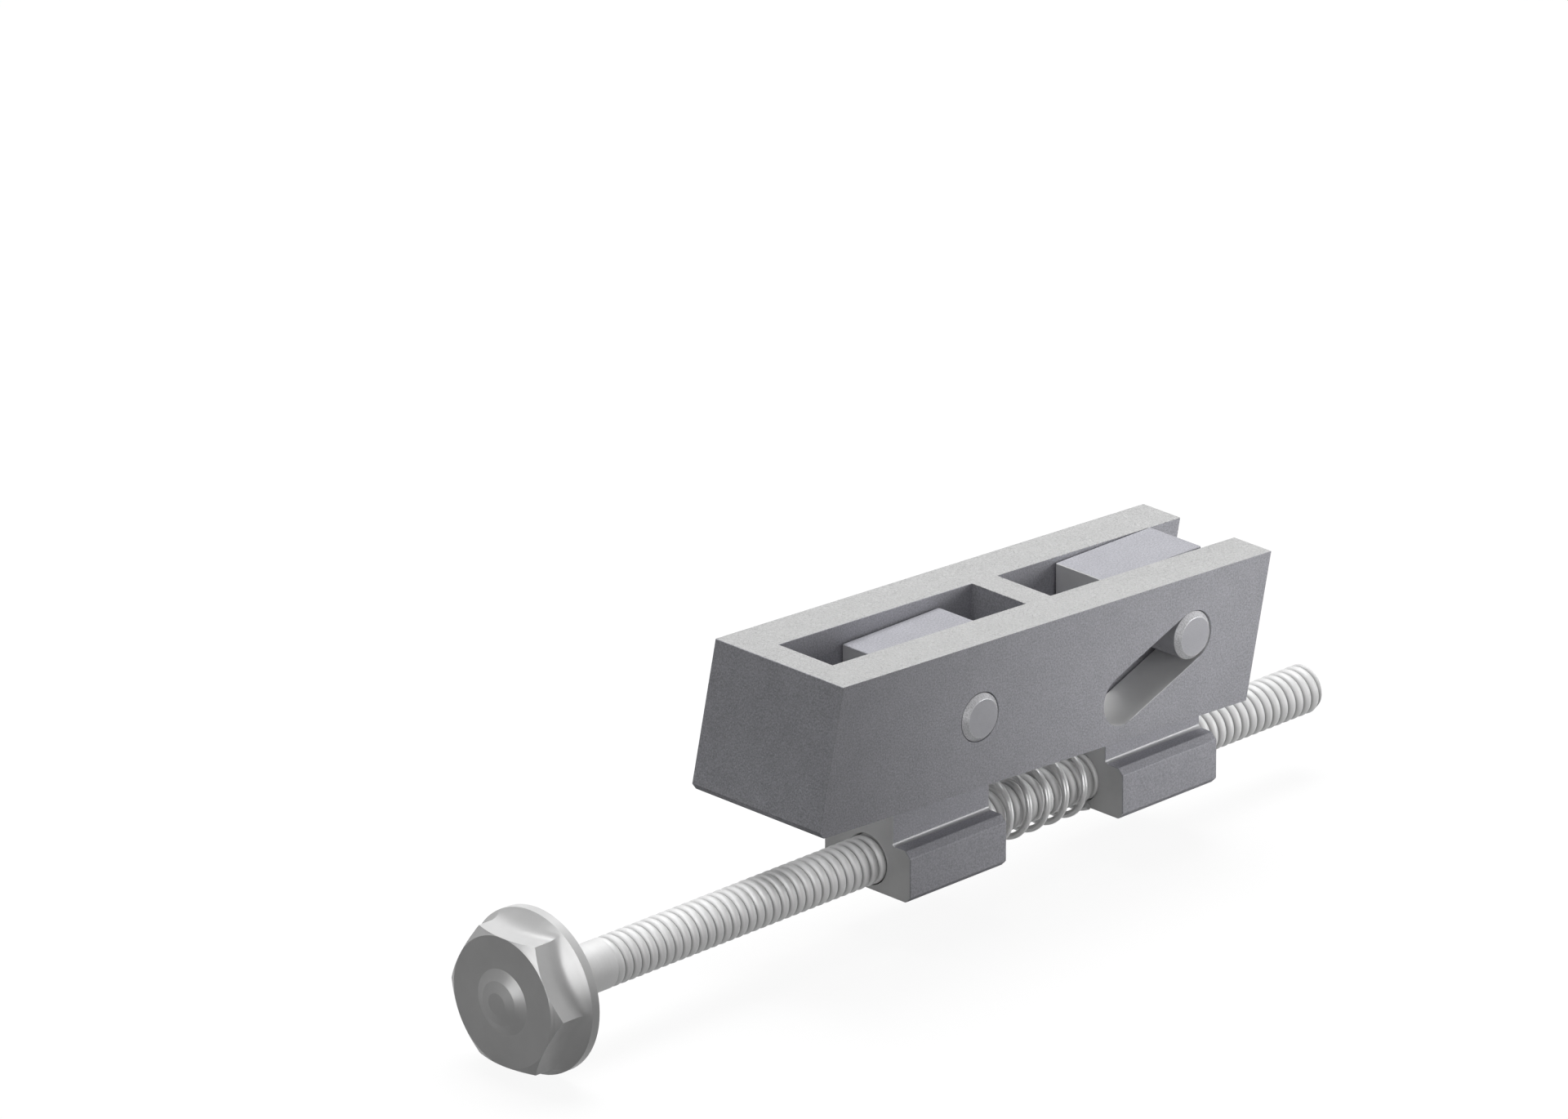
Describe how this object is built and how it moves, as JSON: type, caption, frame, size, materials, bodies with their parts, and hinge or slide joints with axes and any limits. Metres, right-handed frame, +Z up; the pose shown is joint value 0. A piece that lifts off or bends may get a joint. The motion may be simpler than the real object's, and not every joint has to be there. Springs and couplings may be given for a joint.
{
  "type": "solar end clamp",
  "caption": "Hidden end clamp for a solar rail: a long flange bolt draws a T-foot block along a spring, and its cam pin rocks a slotted jaw down on the frame.",
  "frame": {"origin": "centre of the front foot's underside, straight below the pivot pin", "axes": "+X along the bolt from its head to its tail, +Y across the clamp, +Z up from the rail"},
  "size_m": [0.107, 0.0176, 0.031],
  "materials": {
    "jaw": "satin, mill finish",
    "block": "satin, mill finish",
    "pin": "brushed stainless",
    "bolt": "bright stainless",
    "spring": "bright drawn wire"
  },
  "bodies": {
    "front_carrier": {"front_block": "block", "pivot_pin": "pin", "spring": "spring"},
    "bolt": {"flange_bolt": "bolt"},
    "rear_carrier": {"rear_block": "block", "cam_pin": "pin"},
    "jaw": {"clamp_jaw": "jaw"}
  },
  "joints": [
    {"name": "bolt_turn", "type": "hinge", "parent": "front_carrier", "child": "bolt", "pos_m": [0, 0, 0.0029], "axis": [1, 0, 0], "range_deg": [0, 2313]},
    {"name": "rear_block_slide", "type": "slide", "parent": "front_carrier", "child": "rear_carrier", "axis": [-1, 0, 0], "range_m": [0, 0.0068], "deforming": ["spring"]},
    {"name": "jaw_rock", "type": "hinge", "parent": "front_carrier", "child": "jaw", "pos_m": [0, 0, 0.01775], "axis": [0, -1, 0], "range_deg": [0, 7.5]}
  ],
  "couplings": [
    {"joint": "rear_block_slide", "follows": "bolt_turn", "m_per_rad": 0.00016844},
    {"joint": "jaw_rock", "follows": "bolt_turn", "ratio": 0.0032424}
  ]
}
